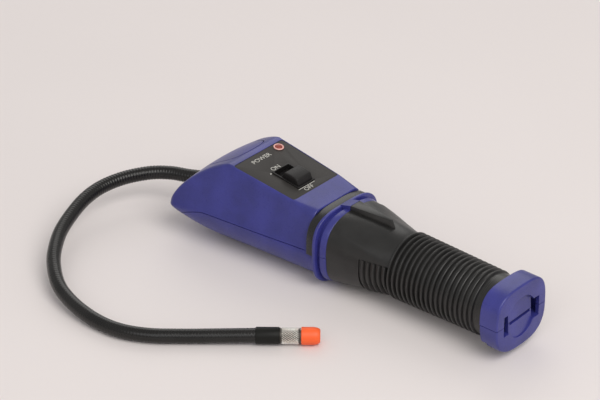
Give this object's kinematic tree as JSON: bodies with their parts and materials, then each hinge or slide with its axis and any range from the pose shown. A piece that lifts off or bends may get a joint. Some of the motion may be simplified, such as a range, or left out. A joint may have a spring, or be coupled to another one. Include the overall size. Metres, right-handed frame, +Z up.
{
  "type": "refrigerant leak detector",
  "caption": "Hand-held refrigerant leak detector: blue case, black ribbed handle, grey top label with slide switch and light, and a flexible gooseneck probe with an orange tip cover.",
  "frame": {"origin": "on the table, under the middle of the case's length and on its middle plane", "axes": "+X along the handle towards the nose, +Y to the user's left, +Z up"},
  "size_m": [0.2761, 0.1734, 0.0534],
  "materials": {
    "case_blue": "satin",
    "grip_black": "satin",
    "band_black": "gloss",
    "label_grey": "matte",
    "bezel_pale": "gloss",
    "lens_red": "gloss",
    "plastic_black": "matte",
    "board_green": "satin",
    "steel": "satin",
    "ferrule_steel": "knurled",
    "plastic_grey": "matte",
    "plastic_white": "matte",
    "hose_pale": "satin",
    "cell_can": "wrapped",
    "neck_black": "satin",
    "tip_orange": "satin"
  },
  "bodies": {
    "case": {"upper_case": "case_blue", "lower_case": "case_blue", "upper_grip": "grip_black", "collar_band": "band_black", "label_panel": "label_grey", "led_bezel": "bezel_pale", "led_lens": "lens_red", "switch_body": "plastic_black", "circuit_board": "board_green", "board_screws": "steel", "buzzer": "plastic_black", "voltage_module": "plastic_black", "pump_motor": "steel", "pump_housing": "plastic_grey", "pump_cover": "plastic_grey", "air_tube": "hose_pale", "battery_rear": "cell_can", "battery_front": "cell_can", "battery_spring": "steel", "spring_plate": "steel", "contact_plate": "steel", "probe_gland": "plastic_black", "gland_nut": "steel", "gooseneck": "neck_black", "tip_sleeve": "neck_black", "tip_ferrule": "ferrule_steel", "sensing_tip": "plastic_white", "case_screws": "steel"},
    "door": {"battery_door": "case_blue", "lower_grip": "grip_black"},
    "knob": {"switch_knob": "plastic_black"},
    "impeller": {"pump_impeller": "plastic_white", "motor_shaft": "steel"},
    "protector": {"tip_protector": "tip_orange"}
  },
  "joints": [
    {"name": "switch_slide", "type": "slide", "parent": "case", "child": "knob", "axis": [0.9912, 0, 0.1323], "range_m": [0, 0.0055]},
    {"name": "battery_door_slide", "type": "slide", "parent": "case", "child": "door", "axis": [-1, 0, 0], "range_m": [0, 0.106]},
    {"name": "tip_protector_pull", "type": "slide", "parent": "case", "child": "protector", "axis": [-0.7636, -0.6457, 0], "range_m": [0, 0.015]},
    {"name": "pump_spin", "type": "hinge", "parent": "case", "child": "impeller", "pos_m": [0.0525, 0, 0.0205], "axis": [1, 0, 0], "continuous": true}
  ]
}
